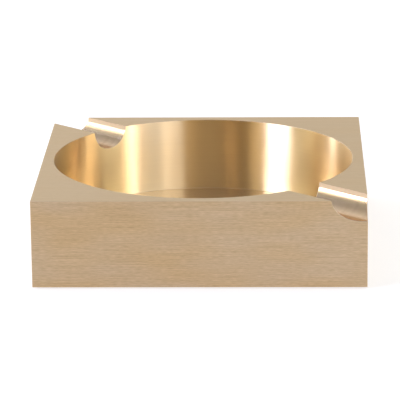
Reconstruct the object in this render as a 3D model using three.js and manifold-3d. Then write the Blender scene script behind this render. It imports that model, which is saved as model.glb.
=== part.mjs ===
// A square brass ashtray milled from one solid block: a round bowl, two cigarette grooves that run
// out over opposite corners, and four bumper feet bonded into the underside.
// Millimetres, +Z up, +X to the right and +Y away from the viewer. The origin lies under the middle
// of the block, on the surface that the feet stand on.

import * as THREE from 'three';
import { mergeVertices } from 'three/addons/utils/BufferGeometryUtils.js';
import Module from 'manifold-3d';

// Block
const BLOCK_SIDE = 75;
const BLOCK_HEIGHT = 20;
const EDGE_BREAK = 0.25;

// Bowl: the wall is measured where it is thinnest, at the middle of each side
const WALL_THICKNESS = 2.5;
const FLOOR_THICKNESS = 2.5;
const FLOOR_FILLET = 0.8;

// Cigarette grooves: half round, with the axis in the top face. The front right one is turned away
// from the front face by less than the diagonal and passes a little beside the corner edge; the back
// left one is the same cut after half a turn.
const GROOVE_DIAMETER = 9.5;
const GROOVE_TURN = THREE.MathUtils.degToRad(41.7);
const GROOVE_PASS = 0.55;

// Feet: each one is set into a round pocket and held there by an adhesive disc
const FOOT_DIAMETER = 10;
const FOOT_INSET = 8.5;
const FOOT_STAND = 0.4;
const FOOT_ROUNDING = 0.3;
const POCKET_DEPTH = 1;
const POCKET_CLEARANCE = 0.3;
const ADHESIVE_THICKNESS = 0.2;
const ADHESIVE_MARGIN = 0.5;

// Fineness of the round surfaces
const BOWL_SEGMENTS = 120;
const FILLET_SEGMENTS = 4;
const GROOVE_SEGMENTS = 24;
const FOOT_SEGMENTS = 48;

// How far a cutter reaches past the face that it breaks through
const CUT_OVERSHOOT = 1;

// Sizes that follow from those above
const BOWL_RADIUS = BLOCK_SIDE / 2 - WALL_THICKNESS;
const GROOVE_RADIUS = GROOVE_DIAMETER / 2;
const FOOT_RADIUS = FOOT_DIAMETER / 2;
const FOOT_HEIGHT = FOOT_STAND + POCKET_DEPTH - ADHESIVE_THICKNESS;
const FOOT_OFFSET = BLOCK_SIDE / 2 - FOOT_INSET;
const CORNERS = [
  { name: 'front_left', x: -FOOT_OFFSET, y: -FOOT_OFFSET },
  { name: 'front_right', x: FOOT_OFFSET, y: -FOOT_OFFSET },
  { name: 'back_left', x: -FOOT_OFFSET, y: FOOT_OFFSET },
  { name: 'back_right', x: FOOT_OFFSET, y: FOOT_OFFSET },
];

const brass = new THREE.MeshStandardMaterial({ color: 0xc8a878, roughness: 0.38, metalness: 1 });
const rubber = new THREE.MeshStandardMaterial({ color: 0x2b2a29, roughness: 0.85, metalness: 0 });
const adhesive = new THREE.MeshStandardMaterial({ color: 0xd9d3c4, roughness: 0.6, metalness: 0 });

const wasm = await Module();
wasm.setup();

// A closed geometry as a solid, without the zero-area triangles at the poles of a lathe
function solidOf(geometry) {
  geometry.deleteAttribute('normal');
  geometry.deleteAttribute('uv');
  const merged = mergeVertices(geometry);
  const corners = merged.index.array;
  const triangles = [];
  for (let i = 0; i < corners.length; i += 3) {
    const [a, b, c] = corners.slice(i, i + 3);
    if (a !== b && b !== c && c !== a) triangles.push(a, b, c);
  }
  return new wasm.Manifold(new wasm.Mesh({
    numProp: 3,
    vertProperties: new Float32Array(merged.attributes.position.array),
    triVerts: new Uint32Array(triangles),
  }));
}

function geometryOf(solid) {
  const mesh = solid.getMesh();
  const geometry = new THREE.BufferGeometry();
  geometry.setAttribute('position', new THREE.BufferAttribute(mesh.vertProperties, mesh.numProp));
  geometry.setIndex(new THREE.BufferAttribute(mesh.triVerts, 1));
  geometry.computeVertexNormals();
  return geometry;
}

// A profile of radius and height pairs turned about the Z axis
function turned(profile, segments) {
  const points = profile.map(([radius, height]) => new THREE.Vector2(radius, height));
  return new THREE.LatheGeometry(points, segments).rotateX(Math.PI / 2);
}

// Points of a quarter round, from straight down to straight out, about a centre
function quarterRound(centreRadius, centreHeight, radius, segments) {
  const points = [];
  for (let i = 0; i <= segments; i += 1) {
    const angle = (Math.PI / 2) * (i / segments);
    points.push([centreRadius + radius * Math.sin(angle), centreHeight - radius * Math.cos(angle)]);
  }
  return points;
}

// The block with every outer edge broken, underside at height zero
function blockGeometry() {
  const half = BLOCK_SIDE / 2 - EDGE_BREAK;
  const cut = EDGE_BREAK * (Math.SQRT2 - 1);
  const outline = new THREE.Shape();
  outline.moveTo(half - cut, -half);
  outline.lineTo(half, cut - half);
  outline.lineTo(half, half - cut);
  outline.lineTo(half - cut, half);
  outline.lineTo(cut - half, half);
  outline.lineTo(-half, half - cut);
  outline.lineTo(-half, cut - half);
  outline.lineTo(cut - half, -half);
  outline.closePath();
  const geometry = new THREE.ExtrudeGeometry(outline, {
    depth: BLOCK_HEIGHT - 2 * EDGE_BREAK,
    bevelThickness: EDGE_BREAK,
    bevelSize: EDGE_BREAK,
    bevelSegments: 1,
  });
  return geometry.translate(0, 0, EDGE_BREAK);
}

// The hollow of the bowl, with its floor fillet and the break along its rim
function bowlCutter() {
  const mouth = BOWL_RADIUS + EDGE_BREAK + CUT_OVERSHOOT;
  const profile = [
    [0, FLOOR_THICKNESS],
    ...quarterRound(BOWL_RADIUS - FLOOR_FILLET, FLOOR_THICKNESS + FLOOR_FILLET, FLOOR_FILLET, FILLET_SEGMENTS),
    [BOWL_RADIUS, BLOCK_HEIGHT - EDGE_BREAK],
    [mouth, BLOCK_HEIGHT + CUT_OVERSHOOT],
    [0, BLOCK_HEIGHT + CUT_OVERSHOOT],
  ];
  return turned(profile, BOWL_SEGMENTS);
}

// The front right groove with its mouth broken, from beside the middle of the bowl to past the corner
function grooveCutter() {
  const dip = Math.asin(EDGE_BREAK / GROOVE_RADIUS);
  const mouth = GROOVE_RADIUS + EDGE_BREAK + CUT_OVERSHOOT;
  const length = BLOCK_SIDE / Math.SQRT2 + CUT_OVERSHOOT;
  const offset = (BLOCK_SIDE / 2) * (Math.cos(GROOVE_TURN) - Math.sin(GROOVE_TURN)) + GROOVE_PASS;
  const section = new THREE.Shape();
  section.moveTo(mouth, CUT_OVERSHOOT);
  section.lineTo(-mouth, CUT_OVERSHOOT);
  section.absarc(0, 0, GROOVE_RADIUS, Math.PI + dip, 2 * Math.PI - dip, false);
  section.closePath();
  const geometry = new THREE.ExtrudeGeometry(section, {
    depth: length,
    curveSegments: GROOVE_SEGMENTS,
    bevelEnabled: false,
  });
  geometry.rotateX(Math.PI / 2);
  geometry.translate(-offset, 0, BLOCK_HEIGHT);
  return geometry.rotateZ(Math.PI / 2 - GROOVE_TURN);
}

// The round pocket that one foot sits in
function pocketCutter(corner) {
  const radius = FOOT_RADIUS + POCKET_CLEARANCE;
  const height = POCKET_DEPTH + CUT_OVERSHOOT;
  const geometry = new THREE.CylinderGeometry(radius, radius, height, FOOT_SEGMENTS);
  geometry.rotateX(Math.PI / 2);
  return geometry.translate(corner.x, corner.y, POCKET_DEPTH - height / 2);
}

function bodyGeometry() {
  let solid = solidOf(blockGeometry());
  solid = solid.subtract(solidOf(bowlCutter()));
  for (const turn of [0, Math.PI]) {
    solid = solid.subtract(solidOf(grooveCutter().rotateZ(turn)));
  }
  for (const corner of CORNERS) {
    solid = solid.subtract(solidOf(pocketCutter(corner)));
  }
  return geometryOf(solid);
}

// One foot, rounded where it meets the surface
function footGeometry() {
  const profile = [
    [0, 0],
    ...quarterRound(FOOT_RADIUS - FOOT_ROUNDING, FOOT_ROUNDING, FOOT_ROUNDING, FILLET_SEGMENTS),
    [FOOT_RADIUS, FOOT_HEIGHT],
    [0, FOOT_HEIGHT],
  ];
  return turned(profile, FOOT_SEGMENTS);
}

// The disc between a foot and the ceiling of its pocket
function adhesiveGeometry() {
  const radius = FOOT_RADIUS - ADHESIVE_MARGIN;
  const profile = [
    [0, 0],
    [radius, 0],
    [radius, ADHESIVE_THICKNESS],
    [0, ADHESIVE_THICKNESS],
  ];
  return turned(profile, FOOT_SEGMENTS);
}

function piece(name, geometry, material) {
  const mesh = new THREE.Mesh(geometry, material);
  mesh.name = name;
  return mesh;
}

const ashtray = new THREE.Group();

const body = piece('brass_body', bodyGeometry(), brass);
body.position.z = FOOT_STAND;
ashtray.add(body);

for (const corner of CORNERS) {
  const bumper = new THREE.Group();
  bumper.position.set(corner.x, corner.y, 0);
  const disc = piece(`adhesive_${corner.name}`, adhesiveGeometry(), adhesive);
  disc.position.z = FOOT_HEIGHT;
  bumper.add(piece(`foot_${corner.name}`, footGeometry(), rubber), disc);
  ashtray.add(bumper);
}

export default ashtray;
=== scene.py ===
"""The square brass ashtray as it looks: brushed outside, turned bowl, milled grooves, rubber feet.

Metres, +Z up, -Y towards the camera. Azimuths of the lights count from the camera's side and are
positive to the left.
"""

from math import asin, ceil, cos, pi, radians, sin, sqrt, tan

import bmesh
import bpy
from mathutils import Matrix, Vector


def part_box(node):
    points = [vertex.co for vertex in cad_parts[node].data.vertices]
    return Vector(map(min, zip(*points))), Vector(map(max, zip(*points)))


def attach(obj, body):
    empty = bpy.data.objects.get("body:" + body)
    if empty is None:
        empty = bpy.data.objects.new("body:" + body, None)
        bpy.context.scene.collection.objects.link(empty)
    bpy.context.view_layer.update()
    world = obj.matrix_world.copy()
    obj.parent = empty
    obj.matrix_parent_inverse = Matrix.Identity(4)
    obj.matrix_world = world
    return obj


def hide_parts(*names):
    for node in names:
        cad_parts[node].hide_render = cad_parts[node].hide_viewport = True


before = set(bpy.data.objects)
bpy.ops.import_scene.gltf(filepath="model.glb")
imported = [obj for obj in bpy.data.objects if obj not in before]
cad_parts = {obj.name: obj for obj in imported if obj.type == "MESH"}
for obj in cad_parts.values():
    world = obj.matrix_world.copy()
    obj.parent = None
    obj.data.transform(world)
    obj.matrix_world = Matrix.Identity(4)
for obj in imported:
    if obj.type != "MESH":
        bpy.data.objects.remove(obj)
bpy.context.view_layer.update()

MM = 0.001

# Block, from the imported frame
BODY_LOW, BODY_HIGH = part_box("brass_body")
HALF_SIDE = (BODY_HIGH.x - BODY_LOW.x) / 2
UNDERSIDE = BODY_LOW.z
TOP = BODY_HIGH.z

# Bowl: a narrow flat border lies between the fillet and the rest of the floor
WALL_THICKNESS = 2.5 * MM
FLOOR_THICKNESS = 2.5 * MM
FLOOR_FILLET = 0.12 * MM
FLOOR_BORDER = 0.4 * MM
BOWL_RADIUS = HALF_SIDE - WALL_THICKNESS
BOWL_FLOOR = UNDERSIDE + FLOOR_THICKNESS

# Grooves: half round, with a lip beyond an angle of the section that is ground like the top
GROOVE_RADIUS = 4.75 * MM
GROOVE_TURN = radians(41.7)
GROOVE_PASS = 0.55 * MM
GROOVE_LIP = radians(78)

# Pockets of the feet
POCKET_DEPTH = 1 * MM
POCKET_CLEARANCE = 0.3 * MM
FRONT_LEFT_DIAGONAL = -3 * pi / 4

# Broken edges: those where two faces meet at more than the sharp angle
EDGE_BREAK = 0.16 * MM
GROOVE_END_BREAK = 0.3 * MM
GROOVE_SIDE_BREAK = 0.04 * MM
WIDEST_BREAK = max(EDGE_BREAK, GROOVE_END_BREAK)
SHARP_ANGLE = radians(30)
BREAK_STEPS = 3
LARGE_FACE_WEIGHT = 80

# Fineness of the round surfaces, and how near two corners are the same one
COLUMNS = 180
GROOVE_STEP = radians(7)
FILLET_STEPS = 5
POCKET_STEPS = 64
SAME_PLACE = 0.001 * MM

CORNER_NAMES = ("front_left", "front_right", "back_left", "back_right")
FINISHES = ("brushed_x", "brushed_y", "top", "bowl", "floor", "groove", "underside", "edge")

# Camera of the photograph, which is square: its place counts from the block's underside
CAMERA_PLACE = Vector((18.19, -620.01, 188.52)) * MM
CAMERA_YAW = radians(-1.76)
CAMERA_PITCH = radians(16.1)
CAMERA_ROLL = radians(-0.595)
CAMERA_LENS = 246.46
CAMERA_SENSOR = 36
CAMERA_CLIP = 0.05


def link(item):
    bpy.context.scene.collection.objects.link(item)


def make_camera():
    data = bpy.data.cameras.new("camera")
    data.lens = CAMERA_LENS
    data.sensor_width = CAMERA_SENSOR
    data.clip_start = CAMERA_CLIP
    camera = bpy.data.objects.new("camera", data)
    turn = Matrix.Rotation(-CAMERA_YAW, 4, "Z") @ Matrix.Rotation(pi / 2 - CAMERA_PITCH, 4, "X")
    turn = turn @ Matrix.Rotation(CAMERA_ROLL, 4, "Z")
    camera.matrix_world = Matrix.Translation(CAMERA_PLACE + Vector((0, 0, UNDERSIDE))) @ turn
    link(camera)
    bpy.context.scene.camera = camera


class Surface:
    """Faces gathered by place, so that neighbours share their corners."""

    def __init__(self):
        self.points = []
        self.number = {}
        self.faces = []
        self.finishes = []

    def corner(self, point):
        key = tuple(round(value / SAME_PLACE) for value in point)
        if key not in self.number:
            self.number[key] = len(self.points)
            self.points.append(tuple(point))
        return self.number[key]

    def face(self, points, finish):
        corners = [self.corner(point) for point in points]
        kept = [corner for i, corner in enumerate(corners) if corner != corners[i - 1]]
        self.faces.append(kept)
        self.finishes.append(FINISHES.index(finish))

    def strip(self, first, second, finish):
        """Quads between two rows of points of the same length."""
        for i in range(len(first) - 1):
            self.face([first[i], first[i + 1], second[i + 1], second[i]], finish)

    def object(self, name, materials):
        mesh = bpy.data.meshes.new(name)
        mesh.from_pydata(self.points, [], self.faces)
        for material in materials:
            mesh.materials.append(material)
        mesh.polygons.foreach_set("material_index", self.finishes)
        mesh.shade_smooth()
        piece = bpy.data.objects.new(name, mesh)
        link(piece)
        return piece


def spread(start, end, step):
    """Evenly spaced values from start to end, no further apart than step."""
    count = ceil((end - start) / step)
    return [start + (end - start) * i / count for i in range(count + 1)]


# The front right groove: directions along it to its corner and across it to the far side, and how far
# its axis passes from the middle of the block
ALONG = Vector((cos(GROOVE_TURN), -sin(GROOVE_TURN), 0))
ACROSS = Vector((sin(GROOVE_TURN), cos(GROOVE_TURN), 0))
CORNER_OFFSET = HALF_SIDE * (ACROSS.x - ACROSS.y)
GROOVE_OFFSET = CORNER_OFFSET - GROOVE_PASS

# Where round the groove's section the block's corner edge meets it, and the direction in which the
# groove opens into the bowl
CORNER_ANGLE = asin(GROOVE_PASS / GROOVE_RADIUS)
MOUTH_MIDDLE = asin(GROOVE_OFFSET / BOWL_RADIUS) - GROOVE_TURN


def column(i):
    """Direction of one of the lines that divide the bowl's wall, counted from the middle of the mouth."""
    return MOUTH_MIDDLE + (i + 0.5) * pi / COLUMNS


def mouth_sine(direction):
    """Place across the groove in a direction from the bowl's middle; past 1 it is outside the mouth."""
    return (BOWL_RADIUS * sin(direction + GROOVE_TURN) - GROOVE_OFFSET) / GROOVE_RADIUS


HALF_COLUMNS = range(-COLUMNS // 2, COLUMNS // 2 + 1)
MOUTH_COLUMNS = [i for i in HALF_COLUMNS if abs(mouth_sine(column(i))) < 1]


def groove_angles():
    """Angles round the groove's half circle, from its near edge to its far edge."""
    at_columns = [asin(mouth_sine(column(i))) for i in MOUTH_COLUMNS]
    near_lip = spread(-pi / 2, -GROOVE_LIP, GROOVE_STEP)[:-1]
    near = spread(-GROOVE_LIP, at_columns[0], GROOVE_STEP)[:-1]
    far = spread(at_columns[-1], GROOVE_LIP, GROOVE_STEP)[1:]
    far_lip = spread(GROOVE_LIP, pi / 2, GROOVE_STEP)[1:]
    return near_lip + near + at_columns + far + far_lip


def outer_angles():
    """The same angles, with the nearest one moved to where the corner edge comes up."""
    angles = groove_angles()
    nearest = min(range(len(angles)), key=lambda i: abs(angles[i] - CORNER_ANGLE))
    angles[nearest] = CORNER_ANGLE
    return angles


def groove_offset(angle):
    """How far a point of the groove's section lies across from the middle of the block."""
    return GROOVE_OFFSET + GROOVE_RADIUS * sin(angle)


def groove_place(angle, reach):
    """A point of the groove at an angle of its section, that far along it from beside the middle."""
    point = ALONG * reach + ACROSS * groove_offset(angle)
    point.z = TOP - GROOVE_RADIUS * cos(angle)
    return point


def groove_inner(angle):
    return groove_place(angle, sqrt(BOWL_RADIUS ** 2 - groove_offset(angle) ** 2))


def on_front(angle):
    return groove_place(angle, (HALF_SIDE + groove_offset(angle) * ACROSS.y) / -ALONG.y)


def on_right(angle):
    return groove_place(angle, (HALF_SIDE - groove_offset(angle) * ACROSS.x) / ALONG.x)


def groove_outer(angle):
    return on_front(angle) if angle <= CORNER_ANGLE else on_right(angle)


def bowl_place(direction, radius, height):
    return Vector((radius * cos(direction), radius * sin(direction), height))


def rim(i):
    """The bowl's upper edge on a column: the rim, or the edge of the groove's mouth."""
    sine = mouth_sine(column(i))
    drop = GROOVE_RADIUS * sqrt(1 - sine ** 2) if abs(sine) < 1 else 0
    return bowl_place(column(i), BOWL_RADIUS, TOP - drop)


def half_turn(points, turned):
    sign = -1 if turned else 1
    return [Vector((sign * point.x, sign * point.y, point.z)) for point in points]


def add_groove(surface, turned):
    """The milled half round, and a lip along both its sides that is ground like the top."""
    inner = half_turn([groove_inner(angle) for angle in groove_angles()], turned)
    outer = half_turn([groove_outer(angle) for angle in outer_angles()], turned)
    lip = sum(angle < -GROOVE_LIP for angle in groove_angles())
    surface.strip(outer[:lip + 1], inner[:lip + 1], "top")
    surface.strip(outer[lip:-lip], inner[lip:-lip], "groove")
    surface.strip(outer[-lip - 1:], inner[-lip - 1:], "top")


def add_wall(surface, turned):
    """Half of the bowl's wall, down to the fillet.

    The two columns at the mouth's ends take in its upright edges.
    """
    angles = groove_angles()
    first, last = MOUTH_COLUMNS[0], MOUTH_COLUMNS[-1]
    start = angles.index(asin(mouth_sine(column(first))))
    end = angles.index(asin(mouth_sine(column(last))))
    foot = BOWL_FLOOR + FLOOR_FILLET
    for i in HALF_COLUMNS[:-1]:
        points = [bowl_place(column(place), BOWL_RADIUS, foot) for place in (i + 1, i)]
        points.append(rim(i))
        if i + 1 == first:
            points += [groove_inner(angle) for angle in angles[:start]]
        if i == last:
            points += [groove_inner(angle) for angle in angles[end + 1:]]
        points.append(rim(i + 1))
        surface.face(half_turn(points, turned), "bowl")


def add_bowl_floor(surface):
    """The fillet, the floor's border and the floor, all the way round."""
    directions = [column(i) for i in range(2 * COLUMNS)]
    rows = []
    for step in range(FILLET_STEPS + 1):
        lean = pi / 2 * step / FILLET_STEPS
        radius = BOWL_RADIUS - FLOOR_FILLET * (1 - cos(lean))
        height = BOWL_FLOOR + FLOOR_FILLET * (1 - sin(lean))
        rows.append([bowl_place(direction, radius, height) for direction in directions])
    border = BOWL_RADIUS - FLOOR_FILLET - FLOOR_BORDER
    rows.append([bowl_place(direction, border, BOWL_FLOOR) for direction in directions])
    for upper, lower in zip(rows, rows[1:]):
        finish = "floor" if lower is rows[-1] else "bowl"
        surface.strip(upper + upper[:1], lower + lower[:1], finish)
    surface.face(rows[-1], "floor")


def add_top(surface, turned):
    """The part of the top face on the near side of the groove, round to the other groove."""
    before = [rim(i) for i in HALF_COLUMNS if i < MOUTH_COLUMNS[0]]
    after = [rim(i) for i in HALF_COLUMNS if i > MOUTH_COLUMNS[-1]]
    points = [groove_outer(-pi / 2), groove_inner(-pi / 2)] + before[::-1]
    points += half_turn(after[::-1] + [groove_inner(pi / 2), groove_outer(pi / 2)], True)
    points.append(Vector((-HALF_SIDE, -HALF_SIDE, TOP)))
    surface.face(half_turn(points, turned), "top")


def add_sides(surface, turned):
    """The front and the right face, both notched by the groove."""
    front_curve = [on_front(angle) for angle in outer_angles() if angle <= CORNER_ANGLE]
    right_curve = [on_right(angle) for angle in outer_angles() if angle >= CORNER_ANGLE]
    near, far = -HALF_SIDE, HALF_SIDE
    front = [Vector((near, near, TOP))] + [Vector((x, near, UNDERSIDE)) for x in (near, 0, far)]
    right = [Vector((far, y, UNDERSIDE)) for y in (near, 0, far)] + [Vector((far, far, TOP))]
    surface.face(half_turn(front + front_curve[::-1], turned), "brushed_x")
    surface.face(half_turn(right + right_curve[::-1], turned), "brushed_y")


def add_pocket(surface, corner):
    """One quarter of the underside with the round pocket of its foot."""
    low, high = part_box(f"foot_{corner}")
    middle = (low + high) / 2
    radius = (high.x - low.x) / 2 + POCKET_CLEARANCE
    ring = []
    ceiling = []
    for i in range(POCKET_STEPS):
        turn = 2 * pi * i / POCKET_STEPS + FRONT_LEFT_DIAGONAL
        point = Vector((middle.x + radius * cos(turn), middle.y + radius * sin(turn), UNDERSIDE))
        ring.append(point)
        ceiling.append(point + Vector((0, 0, POCKET_DEPTH)))
    surface.strip(ceiling + ceiling[:1], ring + ring[:1], "underside")
    surface.face(ceiling[::-1], "underside")
    west, east = sorted((0, HALF_SIDE if middle.x > 0 else -HALF_SIDE))
    south, north = sorted((0, HALF_SIDE if middle.y > 0 else -HALF_SIDE))
    outline = [(west, south), (east, south), (east, north), (west, north)]
    sides = len(outline)
    quarter = POCKET_STEPS // sides
    for side in range(sides):
        arc = [ring[(side * quarter + i) % POCKET_STEPS] for i in range(quarter + 1)]
        ends = [Vector((*outline[place % sides], UNDERSIDE)) for place in (side + 1, side)]
        surface.face(arc + ends, "underside")


def edge_break(edge):
    """How wide one edge is broken: most at the grooves' outer ends, hardly along their sides."""
    if edge.calc_face_angle() < SHARP_ANGLE:
        return 0
    finishes = {FINISHES[face.material_index] for face in edge.link_faces}
    if "groove" in finishes and finishes & {"brushed_x", "brushed_y"}:
        return GROOVE_END_BREAK
    if finishes == {"top"}:
        return GROOVE_SIDE_BREAK
    return EDGE_BREAK


def weigh_edges(mesh):
    """Writes each edge's share of the widest break, which the bevel reads."""
    shape = bmesh.new()
    shape.from_mesh(mesh)
    weight = shape.edges.layers.float.new("bevel_weight_edge")
    for edge in shape.edges:
        edge[weight] = edge_break(edge) / WIDEST_BREAK
    shape.to_mesh(mesh)
    shape.free()


def make_body(materials):
    surface = Surface()
    for turned in (False, True):
        add_groove(surface, turned)
        add_wall(surface, turned)
        add_top(surface, turned)
        add_sides(surface, turned)
    add_bowl_floor(surface)
    for corner in CORNER_NAMES:
        add_pocket(surface, corner)
    body = surface.object("ashtray_body", [materials[finish] for finish in FINISHES])
    weigh_edges(body.data)
    bevel = body.modifiers.new("edge_break", "BEVEL")
    bevel.width = WIDEST_BREAK
    bevel.segments = BREAK_STEPS
    bevel.limit_method = "WEIGHT"
    bevel.material = FINISHES.index("edge")
    body.modifiers.new("face_normals", "WEIGHTED_NORMAL").weight = LARGE_FACE_WEIGHT
    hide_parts("brass_body")
    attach(body, "root")


# Numbers of a mix node's sockets for two values and for two colours, which share their names
MIXED_VALUES = (2, 3)
VALUE_RESULT = 0
MIXED_COLOURS = (6, 7)
COLOUR_RESULT = 2

# The span in which most of a noise lies
NOISE_LOW = 0.3
NOISE_HIGH = 0.7


class NodeTree:
    """The nodes of a material or a world, and short ways to add to them."""

    def __init__(self, owner):
        owner.use_nodes = True
        self.nodes = owner.node_tree.nodes
        self.links = owner.node_tree.links

    def feed(self, source, target):
        """Joins another node's output to a socket, or sets the socket to a plain value."""
        if isinstance(source, bpy.types.NodeSocket):
            self.links.new(source, target)
        else:
            target.default_value = source

    def calculate(self, operation, first, second):
        node = self.nodes.new("ShaderNodeMath")
        node.operation = operation
        self.feed(first, node.inputs[0])
        self.feed(second, node.inputs[1])
        return node.outputs["Value"]

    def ramp(self, value, start, end, start_level, end_level, interpolation="LINEAR"):
        """A level that changes while the value goes from start to end, and stays the same beyond them."""
        node = self.nodes.new("ShaderNodeMapRange")
        node.interpolation_type = interpolation
        self.feed(value, node.inputs["Value"])
        self.feed(start, node.inputs["From Min"])
        self.feed(end, node.inputs["From Max"])
        self.feed(start_level, node.inputs["To Min"])
        self.feed(end_level, node.inputs["To Max"])
        return node.outputs["Result"]

    def average(self, first, second):
        node = self.nodes.new("ShaderNodeMix")
        for value, place in zip((first, second), MIXED_VALUES):
            self.feed(value, node.inputs[place])
        return node.outputs[VALUE_RESULT]

    def blend(self, factor, first, second):
        node = self.nodes.new("ShaderNodeMix")
        node.data_type = "RGBA"
        self.feed(factor, node.inputs["Factor"])
        for colour, place in zip((first, second), MIXED_COLOURS):
            self.feed(colour, node.inputs[place])
        return node.outputs[COLOUR_RESULT]


class Shader(NodeTree):
    """A material round its principled shader."""

    def __init__(self, name):
        self.material = bpy.data.materials.new(name)
        super().__init__(self.material)
        self.principled = self.nodes["Principled BSDF"]

    def set(self, name, value):
        self.feed(value, self.principled.inputs[name])

    def noise(self, scale, detail=2, turn=0):
        """Noise over the object's own space, with a scale per metre along each axis, turned about +Z."""
        place = self.nodes.new("ShaderNodeTexCoord")
        mapping = self.nodes.new("ShaderNodeMapping")
        mapping.vector_type = "TEXTURE"
        self.feed(place.outputs["Object"], mapping.inputs["Vector"])
        self.feed((0, 0, turn), mapping.inputs["Rotation"])
        self.feed([1 / value for value in scale], mapping.inputs["Scale"])
        texture = self.nodes.new("ShaderNodeTexNoise")
        self.feed(mapping.outputs["Vector"], texture.inputs["Vector"])
        self.feed(1, texture.inputs["Scale"])
        self.feed(detail, texture.inputs["Detail"])
        return texture.outputs["Fac"]

    def between(self, noise, low, high):
        """Moves noise to the given range."""
        return self.ramp(noise, NOISE_LOW, NOISE_HIGH, low, high)

    def bump(self, height, depth):
        node = self.nodes.new("ShaderNodeBump")
        self.feed(1, node.inputs["Strength"])
        self.feed(depth, node.inputs["Distance"])
        self.feed(height, node.inputs["Height"])
        self.set("Normal", node.outputs["Normal"])

    def tangent(self, direction):
        """Lays the shader's tangent along a vector, or round the Z axis."""
        if direction == "round":
            node = self.nodes.new("ShaderNodeTangent")
            node.direction_type = "RADIAL"
            node.axis = "Z"
        else:
            node = self.nodes.new("ShaderNodeCombineXYZ")
            for socket, value in zip(node.inputs, direction):
                self.feed(value, socket)
        self.set("Tangent", node.outputs[0])


# Bare brass, one alloy: each face's base colour is scaled to how bright it renders under these lamps, so
# the differences between them are painted light and shade: the brushed and ground faces are painted
# darker and deeper, the edges a little paler, and the grooves, the bowl and its floor paler still.
BRUSHED_BRASS = (0.624, 0.452, 0.267)
GROUND_BRASS = (0.606, 0.47, 0.299)
BOWL_BRASS = (0.893, 0.718, 0.45)
FLOOR_BRASS = (0.96, 0.82, 0.61)
GROOVE_BRASS = (0.765, 0.58, 0.4)
EDGE_BRASS = (0.67, 0.51, 0.34)

RUBBER = (0.028, 0.027, 0.026)
ADHESIVE = (0.68, 0.65, 0.55)

# Fine marks per metre along each axis: long and thin along the brushing, rings round the bowl, and
# lines across the grooves
BRUSHED_X = (700, 6000, 6000)
BRUSHED_Y = (6000, 700, 6000)
TURNED = (60, 60, 2600)
MILLED = (5000, 80, 80)

# Half of the marks are this many times longer, the patches are this coarse, and the roughness swings
# by this share
LONGER_MARKS = 8
PATCHES = 2
ROUGHNESS_SWING = 0.03

# How much faster green and blue change than red from tone to tone, and how far green follows blue
# into a cooler one
GREEN_RISE = 1.15
BLUE_RISE = 1.4
GREEN_FOLLOWS = 0.3

# Grain of the moulded and coated surfaces
SPECKLE_CONTRAST = 0.15
SPECKLE_DEPTH = 0.01 * MM

X_AXIS = (1, 0, 0)
Y_AXIS = (0, 1, 0)
QUARTER_TURN = 0.25


def shade(colour, light, cool=1.0):
    """A lighter or darker tone, which is paler where it is lighter, and cooler or warmer."""
    red, green, blue = colour
    green_share = light ** GREEN_RISE * cool ** GREEN_FOLLOWS
    blue_share = light ** BLUE_RISE * cool
    return (red * light, green * green_share, blue * blue_share, 1)


def metal(name, colour, roughness, anisotropic, tangent, along_tangent, lines, contrast, depth, turn=0):
    """Bare brass with fine marks in warmer and cooler patches.

    It blurs along the tangent, or across it where along_tangent is false.
    """
    shader = Shader(name)
    shader.set("Metallic", 1)
    shader.set("Anisotropic", anisotropic)
    shader.set("Anisotropic Rotation", 0 if along_tangent else QUARTER_TURN)
    shader.tangent(tangent)
    longest = min(lines)
    longer = [value / LONGER_MARKS if value == longest else value for value in lines]
    marks = shader.average(shader.noise(lines, turn=turn), shader.noise(longer, turn=turn))
    patches = shader.noise([PATCHES * sqrt(value) for value in lines], detail=1, turn=turn)
    tones = []
    for light in (1 - contrast, 1 + contrast):
        warm = shade(colour, light, 1 - contrast / 2)
        cool = shade(colour, light, 1 + contrast / 2)
        tones.append(shader.blend(shader.between(patches, 0, 1), warm, cool))
    shader.set("Base Color", shader.blend(shader.between(marks, 0, 1), *tones))
    rougher, smoother = roughness * (1 + ROUGHNESS_SWING), roughness * (1 - ROUGHNESS_SWING)
    shader.set("Roughness", shader.between(marks, rougher, smoother))
    shader.bump(marks, depth)
    return shader.material


def brushed_metal(name, axis, lines, contrast):
    """A face brushed along an axis."""
    return metal(name, BRUSHED_BRASS, roughness=0.5, anisotropic=0.5, tangent=axis, along_tangent=False,
                 lines=lines, contrast=contrast, depth=0.004 * MM)


def ground_metal(name):
    """The top face, which is finer than the brushed ones."""
    return metal(name, GROUND_BRASS, roughness=0.65, anisotropic=0.3, tangent=X_AXIS, along_tangent=False,
                 lines=BRUSHED_X, contrast=0.04, depth=0.002 * MM)


def turned_metal(name, colour, roughness):
    """A surface of the bowl, which smears what it mirrors across its rings."""
    return metal(name, colour, roughness, anisotropic=1, tangent="round", along_tangent=False,
                 lines=TURNED, contrast=0.015, depth=0.0003 * MM)


def milled_metal(name):
    """The grooves, which smear what they mirror along their length."""
    return metal(name, GROOVE_BRASS, roughness=0.17, anisotropic=1, tangent=ALONG, along_tangent=True,
                 lines=MILLED, contrast=0.12, depth=0.0003 * MM, turn=-GROOVE_TURN)


def edge_metal(name):
    """The broken edges, which have no direction."""
    return metal(name, EDGE_BRASS, roughness=0.5, anisotropic=0, tangent=X_AXIS, along_tangent=True,
                 lines=BRUSHED_X, contrast=0.03, depth=0.001 * MM)


def make_materials():
    return {
        "brushed_x": brushed_metal("brass_brushed_x", X_AXIS, BRUSHED_X, contrast=0.19),
        "brushed_y": brushed_metal("brass_brushed_y", Y_AXIS, BRUSHED_Y, contrast=0.19),
        "top": ground_metal("brass_top"),
        "bowl": turned_metal("brass_bowl", BOWL_BRASS, roughness=0.29),
        "floor": turned_metal("brass_floor", FLOOR_BRASS, roughness=0.2),
        "groove": milled_metal("brass_groove"),
        "underside": brushed_metal("brass_underside", X_AXIS, BRUSHED_X, contrast=0.05),
        "edge": edge_metal("brass_edge"),
    }


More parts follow.
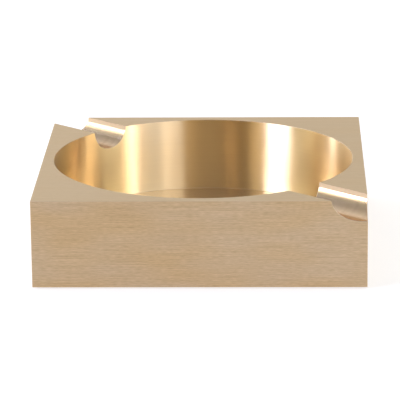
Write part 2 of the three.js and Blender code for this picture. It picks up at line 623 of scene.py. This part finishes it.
def plain_material(name, colour, roughness, grain):
    """A matte moulded or coated surface with a fine grain, given as specks per metre."""
    shader = Shader(name)
    shader.set("Roughness", roughness)
    speckle = shader.noise((grain, grain, grain), detail=3)
    dark = shade(colour, 1 - SPECKLE_CONTRAST)
    light = shade(colour, 1 + SPECKLE_CONTRAST)
    shader.set("Base Color", shader.blend(shader.between(speckle, 0, 1), dark, light))
    shader.bump(speckle, SPECKLE_DEPTH)
    return shader.material


def dress_feet():
    rubber = plain_material("foot_rubber", RUBBER, roughness=0.8, grain=4000)
    adhesive = plain_material("foot_adhesive", ADHESIVE, roughness=0.6, grain=1500)
    for corner in CORNER_NAMES:
        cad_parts[f"foot_{corner}"].material_slots[0].material = rubber
        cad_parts[f"adhesive_{corner}"].material_slots[0].material = adhesive


# Lamps: they stand round the bowl's mouth, most of them with the same span of elevation in degrees, and
# take this much power per square metre for each step of brightness
LAMP_DISTANCE = 0.9
LAMP_TARGET = Vector((0, 0, TOP))
LAMP_RISE = (-1, 26)
LAMP_POWER = 4

WHITE = (1, 1, 1)
WARM_WHITE = (1, 0.99, 0.82)
COOL_WHITE = (0.92, 1.01, 1.24)
COOLER_WHITE = (0.93, 0.98, 1.34)


def softbox(name, azimuth, brightness, colour=WHITE, elevation=LAMP_RISE):
    """A rectangular light that fills spans of azimuth and elevation, in degrees, seen from the bowl."""
    turn = radians(sum(azimuth) / 2)
    rise = radians(sum(elevation) / 2)
    light = bpy.data.lights.new(name, "AREA")
    light.shape = "RECTANGLE"
    light.size = 2 * LAMP_DISTANCE * tan(radians(azimuth[1] - azimuth[0]) / 2) * cos(rise)
    light.size_y = 2 * LAMP_DISTANCE * tan(radians(elevation[1] - elevation[0]) / 2)
    light.energy = brightness * LAMP_POWER * light.size * light.size_y
    light.color = colour
    lamp = bpy.data.objects.new(name, light)
    away = Vector((-sin(turn) * cos(rise), -cos(turn) * cos(rise), sin(rise)))
    lamp.location = LAMP_TARGET + away * LAMP_DISTANCE
    lamp.rotation_mode = "QUATERNION"
    lamp.rotation_quaternion = away.to_track_quat("Z", "Y")
    lamp.visible_camera = False
    link(lamp)


def make_lights():
    softbox("front_left", (38, 51.5), 0.5)
    softbox("left_strip", (51.5, 71), 12, COOLER_WHITE, elevation=(3, 26))
    softbox("left_gap", (71, 75), 4.4, elevation=(6, 26))
    softbox("left_low_strip", (77, 86), 2.2, WARM_WHITE, elevation=(4.5, 25))
    softbox("left_side_strip", (86, 95), 2.2, WARM_WHITE, elevation=(-1, 25))
    softbox("left_back", (95, 118), 0.9, WARM_WHITE)
    softbox("back_left_strip", (118, 124), 8, COOL_WHITE)
    softbox("back_left", (124, 168), 1.5)
    softbox("back", (168, 202), 0.5)
    softbox("right_back", (-108, -90), 2, WARM_WHITE)
    softbox("right_side", (-90, -63.5), 2.9, WARM_WHITE)
    softbox("right_strip", (-63.5, -58.5), 5, COOLER_WHITE)
    softbox("right_fill", (-58.5, -18), 2.15, COOL_WHITE)


# How the room's brightness changes along an axis of the direction: where the change starts and ends, and
# the level at its start and end
ROOM = (
    ("Y", -0.76, 0.1, 0.145, 1),
    ("Z", 0.25, 0.5, 0.5, 0.97),
    ("X", -0.75, 0.05, 0.45, 1),
    ("X", 0.2, 0.8, 1, 0.25),
)

# Colour of the room on the camera's side, and the span along Y in which it turns white
CAMERA_SIDE = (1, 0.68, 0.6, 1)
CAMERA_SIDE_SPAN = (-0.9, -0.2)


def make_world():
    """A room that is pale high up and behind the object, and dark and warm on the camera's side."""
    world = bpy.data.worlds.new("studio")
    tree = NodeTree(world)
    place = tree.nodes.new("ShaderNodeTexCoord")
    split = tree.nodes.new("ShaderNodeSeparateXYZ")
    tree.feed(place.outputs["Generated"], split.inputs["Vector"])
    level = 1
    for axis, start, end, start_level, end_level in ROOM:
        change = tree.ramp(split.outputs[axis], start, end, start_level, end_level, "SMOOTHSTEP")
        level = tree.calculate("MULTIPLY", level, change)
    whiteness = tree.ramp(split.outputs["Y"], *CAMERA_SIDE_SPAN, 0, 1)
    background = tree.nodes["Background"]
    tree.feed(tree.blend(whiteness, CAMERA_SIDE, (*WHITE, 1)), background.inputs["Color"])
    tree.feed(level, background.inputs["Strength"])
    bpy.context.scene.world = world


# Studio floor
PAPER = (0.55, 0.55, 0.55, 1)
FLOOR_REACH = 2.0
FLOOR_GLOW = 0.6


def make_floor():
    """A paper floor that glows a little where it is seen, also in the metal, so that it looks white."""
    near, far = -FLOOR_REACH, FLOOR_REACH
    mesh = bpy.data.meshes.new("studio_floor")
    mesh.from_pydata([(near, near, 0), (far, near, 0), (far, far, 0), (near, far, 0)], [], [(0, 1, 2, 3)])
    floor = bpy.data.objects.new("studio_floor", mesh)
    link(floor)
    paper = Shader("studio_paper")
    paper.set("Base Color", PAPER)
    paper.set("Roughness", 1)
    paper.set("Specular IOR Level", 0)
    paper.set("Emission Color", (*WHITE, 1))
    rays = paper.nodes.new("ShaderNodeLightPath").outputs
    seen = rays["Is Camera Ray"]
    for name in ("Is Glossy Ray", "Is Transmission Ray"):
        seen = paper.calculate("ADD", seen, rays[name])
    paper.set("Emission Strength", paper.calculate("MULTIPLY", seen, FLOOR_GLOW))
    mesh.materials.append(paper.material)


bpy.context.scene.view_settings.view_transform = "Standard"
make_camera()
make_body(make_materials())
dress_feet()
make_lights()
make_world()
make_floor()
